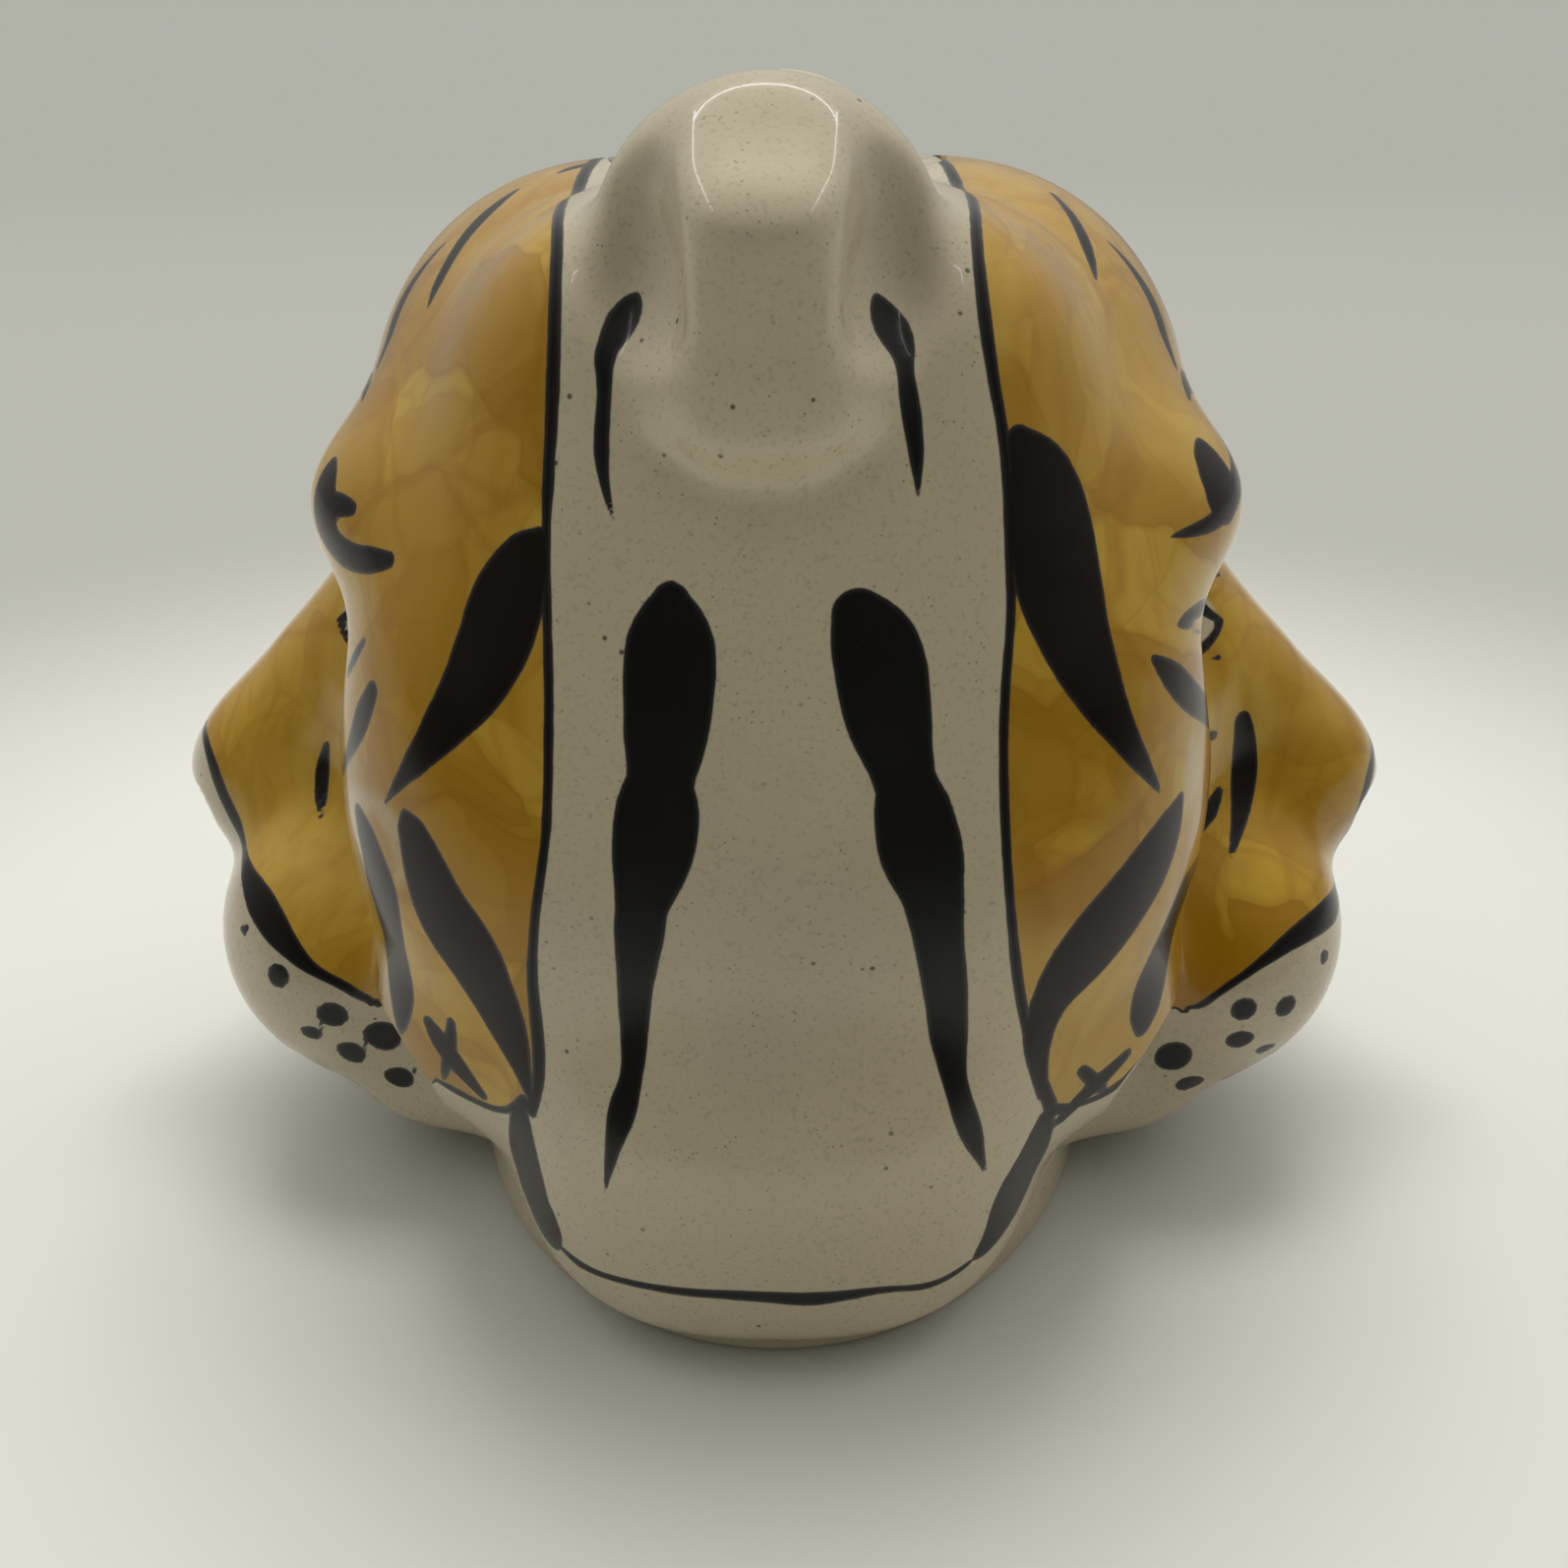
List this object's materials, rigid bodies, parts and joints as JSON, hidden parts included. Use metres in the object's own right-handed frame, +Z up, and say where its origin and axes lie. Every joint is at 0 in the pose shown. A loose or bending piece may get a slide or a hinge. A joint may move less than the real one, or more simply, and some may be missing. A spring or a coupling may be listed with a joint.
{
  "type": "hand painted vase",
  "caption": "Glazed ceramic vase shaped as two tiger faces back to back, with an open mouth between its ears and a low oval foot.",
  "frame": {"origin": "middle of the foot, on the surface that the vase stands on", "axes": "+Z up out of the mouth; X from the nose of the left face to the nose of the right face; Y from the near ear to the far ear"},
  "size_m": [0.2038, 0.1688, 0.1703],
  "materials": {
    "painted_ochre_glaze": "ochre wash with glossy black brush strokes under a clear glaze",
    "cream_glaze": "warm cream glaze, glossy, with fine dark specks",
    "bare_clay": "matt bisque clay"
  },
  "bodies": {
    "root": {"face_shell_left": "painted_ochre_glaze", "face_shell_right": "painted_ochre_glaze", "ear_near": "cream_glaze", "ear_far": "cream_glaze", "mouth_rim": "cream_glaze", "foot_ring": "cream_glaze", "floor_slab": "bare_clay"}
  },
  "joints": []
}
